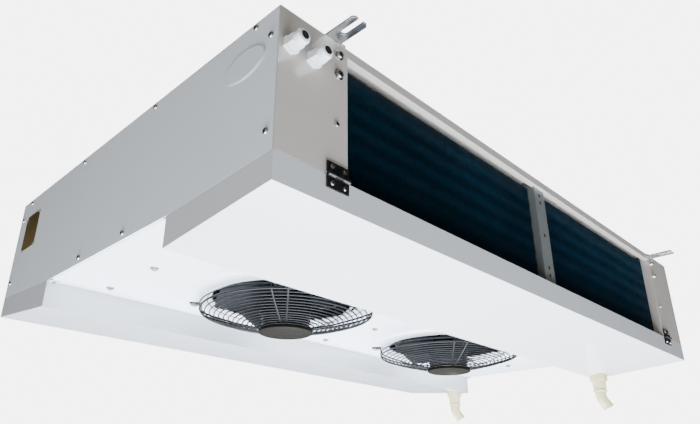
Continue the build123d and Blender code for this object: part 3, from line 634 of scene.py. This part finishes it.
@dataclass
class Coil:
    """Fin packs of one side, as separate fins on round tubes."""

    side: int  # front or rear
    pitch: float = 0.0042  # distance from fin to fin
    fin: float = 0.0004  # thickness of one fin
    tube_radius: float = 0.0062  # outside radius of a tube
    rows: int = 6  # rows of tubes, and waves down a fin
    wave: float = 0.0011  # how far a fin's wave swings to each side
    jitter: float = 0.00025  # how far a fin may stand from its even place
    tube_offset: float = 0.027  # tubes of a row, from the pack's middle

    def build(self) -> None:
        """Build both fin packs with their tubes."""
        name = SIDE_NAMES[self.side]
        for end in END_NAMES.values():
            self._pack(f"{name}_{end}_fins")

    def _fin(self, mesh: BMesh, x: float, low: Vector, high: Vector) -> None:
        """Add one fin, waved down its height as the die leaves it between the tube rows.

        Args:
            mesh: mesh to add to.
            x: where the fin stands.
            low: lowest corner of the pack.
            high: highest corner of the pack.
        """
        centre = Vector((x, (low.y + high.y) / 2, (low.z + high.z) / 2))
        turn = Matrix.Rotation(math.pi / 2, 4, "Y")
        scale = Matrix.Diagonal((high.z - low.z, high.y - low.y, 1.0, 1.0))
        place = Matrix.Translation(centre) @ turn @ scale
        made = bmesh.ops.create_grid(mesh, x_segments=self.rows * 6, y_segments=1, size=0.5, matrix=place)
        for vert in made["verts"]:
            phase = (vert.co.z - low.z) / (high.z - low.z) * self.rows
            vert.co.x += self.wave * math.cos(math.tau * phase)

    def _pack(self, node: str) -> None:
        """Build one pack: waved fins, and tubes through them.

        Args:
            node: CAD node of the pack.
        """
        low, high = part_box(node)
        fins = bmesh.new()
        count = int((high.x - low.x) / self.pitch)
        start = low.x + (high.x - low.x - (count - 1) * self.pitch) / 2
        wander = random.Random(node)
        for index in range(count):
            x = start + index * self.pitch + wander.uniform(-self.jitter, self.jitter)
            x = min(max(x, low.x + self.wave + self.fin), high.x - self.wave - self.fin)
            self._fin(fins, x, low, high)
        bmesh.ops.solidify(fins, geom=list(fins.faces), thickness=self.fin)
        skin = piece(f"{node}_sheets", fins, FIN_COAT, "casing", 20)
        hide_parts(node)
        tubes = bmesh.new()
        step = (high.z - low.z) / self.rows
        middle = (low.y + high.y) / 2
        for row in range(self.rows):
            for offset in (-self.tube_offset, self.tube_offset):
                foot = (low.x, middle + offset, low.z + (row + 0.5) * step)
                drum(tubes, foot, (1, 0, 0), self.tube_radius, high.x - low.x, 16)
        piece(f"{node}_tubes", tubes, FIN_COAT, "casing")


@dataclass
class FanUnit:
    """One guard-mounted axial fan."""

    end: int  # left or right
    wire: float = 0.0030  # thickness of a guard wire
    bolt_radius: float = 0.193  # guard bolts, from the fan's axis
    foot_sheet: float = 0.002  # thickness of a guard's foot
    inner_ring: float = 0.060  # radius of the basket's innermost ring
    ring_step: float = 0.0098  # distance from ring to ring
    rings: int = 12  # rings inside the rim
    rim: float = 0.178  # radius of the basket's rim
    neck: tuple[float, float] = (0.1795, 0.0115)  # radius and drop of the ring above the rim
    spoke_split: float = 5.0  # half the angle between paired spokes, in degrees
    blades: int = 5  # blades of the rotor
    hub: float = 0.051  # radius of the rotor's hub can
    stator: float = 0.050  # radius of the motor's body
    cap: tuple[float, float] = (0.056, 0.010)  # radius and height of the motor's cap
    offset: float = 0.28815  # from the casing's middle to the fan's axis
    # Radius and drop below the deck along a spoke, from the rim inwards.
    profile: tuple[tuple[float, float], ...] = (
        (0.178, 0.0203),
        (0.150, 0.0303),
        (0.100, 0.0433),
        (0.062, 0.0503),
        (0.0505, 0.0503),
    )

    def build(self) -> None:
        """Build guard, throat liner, rotor and motor."""
        self.name = END_NAMES[self.end]
        self.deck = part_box("fan_deck")[0].z
        self.centre = Vector((self.end * self.offset, 0, self.deck))
        self._guard()
        self._liner()
        self._rotor()
        self._motor()

    def _height(self, radius: float) -> float:
        """Return how far below the deck the basket lies.

        Args:
            radius: distance from the fan's axis.

        Returns:
            The drop below the deck's underside.
        """
        points = sorted(self.profile)
        for (r0, d0), (r1, d1) in zip(points, points[1:]):
            if r0 <= radius <= r1:
                return d0 + (d1 - d0) * (radius - r0) / (r1 - r0)
        return points[-1][1]

    def _guard(self) -> None:
        """Concentric wires, paired spokes, four feet and their bolts."""
        guard = bmesh.new()
        for radius in [self.inner_ring + self.ring_step * k for k in range(self.rings)] + [self.rim]:
            thick = self.wire * (1.5 if radius == self.rim else 1.0)
            ring(guard, self.centre + DOWN * self._height(radius), radius, thick)
        neck, neck_drop = self.neck
        ring(guard, self.centre + DOWN * neck_drop, neck, self.wire)
        for quarter in range(4):
            for split in (-self.spoke_split, self.spoke_split):
                angle = math.radians(45 + 90 * quarter + split)
                out = Vector((math.cos(angle), math.sin(angle), 0))
                path = [self.centre + out * r + Vector((0, 0, -d - self.wire * 0.4)) for r, d in self.profile]
                path.insert(0, self.centre + out * neck + DOWN * neck_drop)
                tube(guard, rounded_path(path, 0.006, 3), 0.0020)
            self._foot(guard, math.radians(45 + 90 * quarter))
        thing = piece(f"{self.name}_guard_wires", guard, WIRE_BLACK, "casing")
        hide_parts(f"{self.name}_fan_guard")
        seats = []
        for quarter in range(4):
            angle = math.radians(45 + 90 * quarter)
            out = Vector((math.cos(angle), math.sin(angle), 0))
            seats.append((self.centre + out * self.bolt_radius + DOWN * self.foot_sheet, DOWN))
        fixings(f"{self.name}_guard_bolt", GUARD_BOLT, seats, "casing")

    def _liner(self) -> None:
        """Black coated ring that lines the bellmouth and the throat."""
        liner = bmesh.new()
        profile = ((0.1655, -0.0004), (0.1605, 0.0024), (0.1565, 0.0060), (0.1544, 0.0110), (0.1544, 0.0285))
        last = liner.verts.new(self.centre + Vector((profile[0][0], 0, profile[0][1])))
        for radius, rise in profile[1:]:
            point = liner.verts.new(self.centre + Vector((radius, 0, rise)))
            liner.edges.new((last, point))
            last = point
        outline = list(liner.verts) + list(liner.edges)
        bmesh.ops.spin(
            liner, geom=outline, cent=self.centre, axis=(0, 0, 1), angle=math.tau, steps=96, use_merge=True,
            use_duplicate=False,
        )
        bmesh.ops.remove_doubles(liner, verts=liner.verts, dist=1e-6)
        bmesh.ops.recalc_face_normals(liner, faces=liner.faces)
        bmesh.ops.solidify(liner, geom=list(liner.faces), thickness=0.0003)
        piece(f"{self.name}_throat_liner", liner, ROTOR_BLACK, "casing")

    def _foot(self, mesh: BMesh, angle: float) -> None:
        """Add a flat foot that is bolted to the deck, and the bent strip down to the guard's rim.

        Args:
            mesh: mesh of the guard.
            angle: where the foot stands around the fan.
        """
        turn = Matrix.Translation(self.centre) @ Matrix.Rotation(angle, 4, "Z")
        upper = [(0.203, 0.0), (0.180, 0.0), (0.177, -0.020)]
        lower = [(0.1785, -0.0215), (0.1815, -0.002), (0.203, -0.002)]
        corners = [mesh.verts.new(turn @ Vector((r, -0.011, z))) for r, z in upper + lower]
        face = mesh.faces.new(corners)
        moved = bmesh.ops.extrude_face_region(mesh, geom=[face])
        shift = turn.to_3x3() @ Vector((0, 0.022, 0))
        ends = [v for v in moved["geom"] if isinstance(v, bmesh.types.BMVert)]
        bmesh.ops.translate(mesh, verts=ends, vec=shift)

    def _rotor(self) -> None:
        """Hub can and five wide, twisted blades."""
        rotor = bmesh.new()
        low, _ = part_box(f"{self.name}_fan_rotor")
        drum(rotor, (self.centre.x, 0, low.z), (0, 0, 1), self.hub, 0.0593, 64, 0.004)
        for blade in range(self.blades):
            self._blade(rotor, math.radians(90 + 360 / self.blades * blade))
        thing = piece(f"{self.name}_rotor_blades", rotor, ROTOR_BLACK, f"{self.name}_rotor", 30)
        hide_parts(f"{self.name}_fan_rotor")

    def _blade(self, mesh: BMesh, angle: float) -> None:
        """Add one blade: a grid bent to its twist and camber, then given its thickness.

        Args:
            mesh: mesh of the rotor.
            angle: where the blade stands around the hub.
        """
        across, along = 10, 8
        hub, tip = 0.048, 0.1485
        root_chord, added_chord = 0.066, 0.062
        root_pitch, twist, lean = 33, 11, 9  # degrees
        hollow, middle, lowest, highest = 0.006, 0.0075, -0.0205, 0.0365
        made = bmesh.ops.create_grid(mesh, x_segments=along, y_segments=across, size=0.5)
        turn = Matrix.Translation(self.centre) @ Matrix.Rotation(angle, 4, "Z")
        for vert in made["verts"]:
            s = vert.co.x + 0.5
            chordwise = vert.co.y
            radius = hub + (tip - hub) * s
            chord = root_chord + added_chord * s**0.8
            pitch = math.radians(root_pitch - twist * s)
            sweep = math.radians(lean) * s**1.5
            arc = chordwise * chord * math.cos(pitch) / radius + sweep
            camber = hollow * (0.25 - chordwise**2) * 4
            level = middle + chordwise * chord * math.sin(pitch) + camber
            level = min(max(level, lowest), highest)
            vert.co = turn @ Vector((radius * math.cos(arc), radius * math.sin(arc), level))
        faces = list({f for v in made["verts"] for f in v.link_faces})
        bmesh.ops.solidify(mesh, geom=faces, thickness=0.0022)

    def _motor(self) -> None:
        """Stator body and shaft, with the rounded cap below and its bright rim."""
        motor = bmesh.new()
        low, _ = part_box(f"{self.name}_fan_motor")
        foot = Vector((self.centre.x, 0, low.z))
        drum(motor, foot + Vector((0, 0, 0.008)), (0, 0, 1), self.stator, 0.0135, 64, 0.0015)
        drum(motor, foot + Vector((0, 0, 0.0215)), (0, 0, 1), 0.006, 0.036, 24)
        body = piece(f"{self.name}_motor_body", motor, ROTOR_BLACK, "casing")
        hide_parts(f"{self.name}_fan_motor")
        cap = bmesh.new()
        cap_radius, cap_height = self.cap
        drum(cap, foot - DOWN * cap_height, DOWN, cap_radius, cap_height, 96, 0.0025)
        piece(f"{self.name}_motor_cap", cap, CAP_DARK, "casing")
        trims = bmesh.new()
        ring(trims, foot + Vector((0, 0, 0.0075)), 0.0555, 0.0012, 96)
        piece(f"{self.name}_motor_cap_rim", trims, ZINC, "casing")


@dataclass
class Leads:
    """Grey leads of the two motors, rounder than the CAD's."""

    radius: float = 0.0025  # radius of a lead
    sheet: float = 0.0015  # thickness of the deck and the inner walls
    lift: float = 0.0062  # middle of a lead above the deck's sheet
    wall: float = 0.592  # the left inner wall, from the casing's middle
    reach: float = 0.0125  # from that wall to where the leads turn down
    rise: float = 0.037  # upper end of the leads, above the deck
    # Radius and angle in degrees where a lead comes through the deck.
    entry: tuple[float, float] = (0.171, -80)
    above_spokes: float = 0.0049  # how far it stays above the guard's wires

    def build(self) -> None:
        """Build both leads along the route that the frame's leads take."""
        deck_low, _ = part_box("fan_deck")
        level = deck_low.z + self.sheet + self.lift
        end_x = -(self.wall + self.sheet + self.reach)
        entry_radius, entry_angle = self.entry[0], math.radians(self.entry[1])
        stations = (  # angle in degrees, radius, and drop below the deck
            (self.entry[1], entry_radius, 0.014),
            (-72, 0.150, 0.0303),
            (-50, 0.100, 0.0433),
            (-28, 0.062, 0.0503),
            (-24, 0.0497, 0.0503),
        )
        for end, track in ((LEFT, -0.185), (RIGHT, -0.195)):
            centre = end * FanUnit.offset
            entry_x = centre + entry_radius * math.cos(entry_angle)
            entry_y = entry_radius * math.sin(entry_angle)
            points = [
                Vector((end_x, track, deck_low.z + self.rise)),
                Vector((end_x, track, level)),
                Vector((entry_x, track, level)),
                Vector((entry_x, entry_y, level)),
            ]
            for angle, radius, drop in stations:
                lift = self.above_spokes if radius < entry_radius else 0.0
                x = centre + radius * math.cos(math.radians(angle))
                y = radius * math.sin(math.radians(angle))
                points.append(Vector((x, y, deck_low.z - drop + lift)))
            line = bmesh.new()
            tube(line, rounded_path(points, 0.012, 5), self.radius, 12)
            name = END_NAMES[end]
            thing = piece(f"{name}_lead", line, CABLE_GREY, "casing")
            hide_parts(f"{name}_fan_lead")


@dataclass
class DrainPan:
    """One swing-down pan with its hinges and its drain fitting."""

    side: int  # front or rear
    hinge_inset: float = 0.1085  # middle of a hinge, from the casing's end
    leaf: float = 0.0025  # thickness of a hinge leaf
    screw_offset: float = 0.0115  # leaf screws, from the middle of the hinge
    upper_screws: float = 0.0125  # screws of an upper leaf, above the split
    lower_screws: float = 0.0115  # screws of a lower leaf, below it
    # Middle of a pan's tab, from the edge of its inner wall and from the pan's end.
    tab: tuple[float, float] = (0.006, 0.0115)
    tab_sheet: float = 0.0018  # thickness of a tab
    # Drop, radius, height and rounding of the drain's round steps.
    collars: tuple[tuple[float, float, float, float], ...] = (
        (0.0, 0.017, 0.020, 0.0012),
        (0.020, 0.0155, 0.006, 0.0),
        (0.024, 0.0178, 0.005, 0.001),
    )

    def build(self) -> None:
        """Build the pan's skin, hinge leaves, screws and drain."""
        self.name = SIDE_NAMES[self.side]
        self.body = f"{self.name}_pan"
        softened(f"{self.name}_drain_pan", POWDER_PAN, self.body, 0.5)
        softened(f"{self.name}_lower_leaves", HINGE_BLACK, self.body, 0.35)
        softened(f"{self.name}_upper_leaves", HINGE_BLACK, "casing", 0.35)
        self._hinge_screws()
        self._drain()
        self._catches()

    def _hinge_screws(self) -> None:
        """Two screws in each leaf."""
        low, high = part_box("casing_shell")
        face = self.side * (high.y + self.leaf)
        facing = Vector((0, self.side, 0))
        offsets = (-self.screw_offset, self.screw_offset)
        columns = [end * (high.x - self.hinge_inset) + offset for end in (LEFT, RIGHT) for offset in offsets]
        leaves = (("upper", "casing", self.upper_screws), ("lower", self.body, -self.lower_screws))
        for leaf, carrier, lift in leaves:
            seats = [(Vector((x, face, low.z + lift)), facing) for x in columns]
            fixings(f"{self.name}_{leaf}_leaf_screw", LEAF_SCREW, seats, carrier)

    def _catches(self) -> None:
        """Screw under each tab of the pan's inner wall."""
        name = self.name
        low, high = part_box(f"{name}_drain_pan")
        depth, inset = self.tab
        y = high.y - depth if self.side == FRONT else low.y + depth
        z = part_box("fan_deck")[0].z - self.tab_sheet
        seats = [(Vector((x, y, z)), DOWN) for x in (low.x + inset, high.x - inset)]
        fixings(f"{name}_pan_screw", PAN_SCREW, seats, self.body)

    def _drain(self) -> None:
        """Hexagonal nut, collar with its lug, and the bent spout."""
        name, body = self.name, self.body
        softened(f"{name}_drain_nut", DRAIN_IVORY, body, 0.8)
        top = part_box(f"{name}_drain_spout")[1].z
        nut_low, nut_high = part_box(f"{name}_drain_nut")
        centre = (nut_low + nut_high) / 2
        spout = bmesh.new()
        for drop, radius, height, edge in self.collars:
            drum(spout, (centre.x, centre.y, top - drop), DOWN, radius, height, 48, edge)
        lug = Vector((centre.x - 0.0165, centre.y + 0.004, top - 0.030))
        block(spout, lug, lug + Vector((0.004, 0.005, 0.012)), 0.0008)
        bend_top = Vector((centre.x, centre.y, top - 0.028))
        elbow = Vector((centre.x, centre.y, top - 0.046))
        tilt = math.radians(35)
        out = Vector((math.sin(tilt) / math.sqrt(2), -math.sin(tilt) / math.sqrt(2), -math.cos(tilt)))
        path = rounded_path([bend_top, elbow, elbow + out * 0.0295], 0.016, 8)
        tube(spout, path, 0.0138, 40)
        drum(spout, elbow + out * 0.0250, out, 0.0150, 0.0045, 40, 0.0012)
        thing = piece(f"{name}_spout", spout, DRAIN_IVORY, body)
        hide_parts(f"{name}_drain_spout")
        # Thin dark disc across the spout's open end: painted shade inside the tube.
        mouth_shade = bmesh.new()
        drum(mouth_shade, elbow + out * 0.0296, out, 0.0105, 0.0003, 32)
        piece(f"{name}_spout_mouth", mouth_shade, RUBBER_AND_SHADE, body)


@dataclass
class Fittings:
    """Hangers with their bolts, cable glands and blank plates on the casing."""

    half_length: float  # from the middle to an end
    half_width: float  # from the middle to a coil side
    roof: float  # height of the roof's outside
    bolt_inset: float = 0.110  # hanger bolts, from the casing's end
    bolt_drops: tuple[float, float] = (0.021, 0.055)  # upper and lower bolt, below the roof
    badge: tuple[float, float] = (0.045, 0.024)  # half the length and half the height of the oval badge
    badge_centre: tuple[float, float] = (-0.378, -0.063)  # its Y and Z
    plate: tuple[float, float, float, float] = (0.337, 0.408, -0.128, -0.047)  # low, high Y; low, high Z

    def build(self) -> None:
        """Build every fitting."""
        for side in SIDE_NAMES.values():
            for end in END_NAMES.values():
                softened(f"{side}_{end}_hanger", STAINLESS, "casing", 0.35)
        self._hanger_bolts()
        self._glands()
        self._plates()

    def _hanger_bolts(self) -> None:
        """Two bolts with washers on each corner post."""
        x = self.half_length - self.bolt_inset
        seats = [
            (Vector((end * x, side * self.half_width, self.roof - drop)), Vector((0, side, 0)))
            for side in (FRONT, REAR)
            for end in (LEFT, RIGHT)
            for drop in self.bolt_drops
        ]
        fixings("hanger_bolt", HANGER_BOLT, seats, "casing")

    def _glands(self) -> None:
        """Body, six-sided cap with its round dome, and dark seal of the two cable glands."""
        for name in ("power_gland", "sensor_gland"):
            softened(f"{name}_body", GLAND_WHITE, "casing", 0.5)
            low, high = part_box(f"{name}_cap")
            centre = (low + high) / 2
            cap = bmesh.new()
            drum(cap, (centre.x, high.y, centre.z), (0, -1, 0), 0.0120, 0.012, 6, 0.0008)
            drum(cap, (centre.x, high.y - 0.011, centre.z), (0, -1, 0), 0.0108, 0.013, 40, 0.004)
            thing = piece(f"{name}_dome", cap, GLAND_WHITE, "casing")
            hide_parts(f"{name}_cap")
            seal = bmesh.new()
            drum(seal, (centre.x, low.y, centre.z), (0, -1, 0), 0.0062, 0.0004, 32)
            piece(f"{name}_seal", seal, RUBBER_AND_SHADE, "casing")

    def _plates(self) -> None:
        """Blank rating plate with four rivets, and the blank oval badge with its rim."""
        x, sheet, inset = -self.half_length, 0.0008, 0.0035
        y0, y1, z0, z1 = self.plate
        plate, rivets = bmesh.new(), bmesh.new()
        block(plate, (x - sheet, y0, z0), (x, y1, z1), 0.0003)
        piece("rating_plate", plate, PLATE_BRONZE, "casing")
        for y in (y0 + inset, y1 - inset):
            for z in (z0 + inset, z1 - inset):
                drum(rivets, (x - sheet, y, z), (-1, 0, 0), 0.0017, 0.0009, 16, 0.0005)
        piece("rating_plate_rivets", rivets, ZINC, "casing")
        layers = (("badge_rim", BADGE_RIM, 1.0, 0.0009), ("badge_face", POWDER_WHITE, 0.93, 0.0013))
        for name, finish, scale, proud in layers:
            badge = bmesh.new()
            drum(badge, (0, 0, 0), (-1, 0, 0), 1.0, proud, 64)
            size = Matrix.Diagonal((1.0, self.badge[0] * scale, self.badge[1] * scale, 1.0))
            place = Matrix.Translation((x, *self.badge_centre)) @ size
            bmesh.ops.transform(badge, matrix=place, verts=badge.verts)
            piece(name, badge, finish, "casing")


# ------------------------------ studio
@dataclass
class Studio:
    """Floor, light and the camera at the reference angle."""

    floor_height: float = -1.9  # height of the floor
    backdrop: float = 6.0  # strength of the white surround as the camera sees it
    surround: float = 0.04  # strength of the light that it gives the cooler

    def build(self) -> None:
        """Build the stage."""
        self._floor()
        self._world()
        self._light("under", (0.1, 0.0, -1.8), (0.1, 0.0, -0.2), 2.6, 240.0, "E6F0FF")
        self._light("left", (-3.4, 0.2, 0.3), (-0.7, 0.0, -0.15), 2.4, 12.0, "F4F8FF")
        self._light("front", (0.4, -3.6, 0.6), (0.0, -0.4, -0.15), 2.0, 1.0, "FFF2E0")
        self._light("top", (0.3, 0.4, 3.0), (0.0, 0.0, 0.0), 3.0, 60.0, "FFFFFF")
        self._camera()

    def _floor(self) -> None:
        """Plain pale floor well below the cooler."""
        data = bpy.data.meshes.new("floor")
        mesh = bmesh.new()
        place = Matrix.Translation((0, 0, self.floor_height))
        bmesh.ops.create_grid(mesh, x_segments=1, y_segments=1, size=9.0, matrix=place)
        mesh.to_mesh(data)
        mesh.free()
        data.materials.append(LIBRARY.get(FLOOR))
        floor = bpy.data.objects.new("floor", data)
        bpy.context.scene.collection.objects.link(floor)

    def _world(self) -> None:
        """White surround, bright to the camera and weak as a light."""
        world = bpy.data.worlds.new("studio")
        world.use_nodes = True
        tree = world.node_tree
        seen = tree.nodes["Background"]
        seen.inputs["Strength"].default_value = self.backdrop
        lit = tree.nodes.new("ShaderNodeBackground")
        lit.inputs["Strength"].default_value = self.surround
        for background in (seen, lit):
            background.inputs["Color"].default_value = colour("FFFFFF")
        path = tree.nodes.new("ShaderNodeLightPath")
        mix = tree.nodes.new("ShaderNodeMixShader")
        tree.links.new(path.outputs["Is Camera Ray"], mix.inputs["Fac"])
        tree.links.new(lit.outputs["Background"], mix.inputs[1])
        tree.links.new(seen.outputs["Background"], mix.inputs[2])
        tree.links.new(mix.outputs["Shader"], tree.nodes["World Output"].inputs["Surface"])
        bpy.context.scene.world = world

    @staticmethod
    def _light(
        name: str, place: Sequence[float], target: Sequence[float], size: float, power: float, tint: str
    ) -> None:
        """Add a large square area light that faces a point.

        Args:
            name: object name.
            place: where it stands.
            target: point it faces.
            size: length of its side.
            power: its power in watts.
            tint: sRGB colour of its light.
        """
        data = bpy.data.lights.new(name, "AREA")
        data.energy = power
        data.size = size
        data.color = colour(tint)[:3]
        data.spread = math.radians(120)
        lamp = bpy.data.objects.new(name, data)
        lamp.location = place
        lamp.rotation_euler = (Vector(target) - Vector(place)).to_track_quat("-Z", "Y").to_euler()
        bpy.context.scene.collection.objects.link(lamp)

    @staticmethod
    def _camera() -> None:
        """Camera below the near corner, looking up along the cooler."""
        data = bpy.data.cameras.new("camera")
        data.sensor_width = 36.0
        data.lens = 31.5
        data.shift_x = 0.0447
        data.shift_y = 0.0269
        data.clip_start = 0.02
        camera = bpy.data.objects.new("camera", data)
        forward = Vector((0.635, 0.666, 0.392)).normalized()
        right = forward.cross(Vector((-0.283, -0.271, 0.920))).normalized()
        up = right.cross(forward)
        camera.matrix_world = Matrix.Translation((-1.099, -0.944, -0.597)) @ Matrix(
            (right, up, -forward)
        ).transposed().to_4x4()
        bpy.context.scene.collection.objects.link(camera)
        bpy.context.scene.camera = camera


# Finish of each CAD node that stays visible, by a part of its name.
NODE_FINISHES: dict[str, Finish] = {
    "bulkhead": POWDER_WHITE,
    "divider": POWDER_WHITE,
    "tube_sheet": GALVANISED,
    "return_bends": COPPER,
    "manifold": COPPER,
    "distributor": COPPER,
    "terminal_block": BLOCK_WHITE,
}


def dress_plain_nodes() -> None:
    """Give every CAD node that stays visible its own procedural finish."""
    for name, node in FRAME["nodes"].items():
        finish = next((f for key, f in NODE_FINISHES.items() if key in name), None)
        if finish is not None:
            node.data.materials.clear()
            node.data.materials.append(LIBRARY.get(finish))


def main() -> None:
    """Build the cooler's sub-assemblies in order, then the studio."""
    low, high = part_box("casing_shell")
    roof = high.z
    parts = [
        Casing(high.x, high.y, low.z, roof),
        Coil(FRONT),
        Coil(REAR),
        FanUnit(LEFT),
        FanUnit(RIGHT),
        Leads(),
        DrainPan(FRONT),
        DrainPan(REAR),
        Fittings(high.x, high.y, roof),
    ]
    for part in parts:
        LOG.info("building %s", part)
        part.build()
    dress_plain_nodes()
    Studio().build()


if __name__ == "__main__":
    logging.basicConfig(level=logging.INFO, format="%(message)s", stream=sys.stdout)
    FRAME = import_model()
    main()
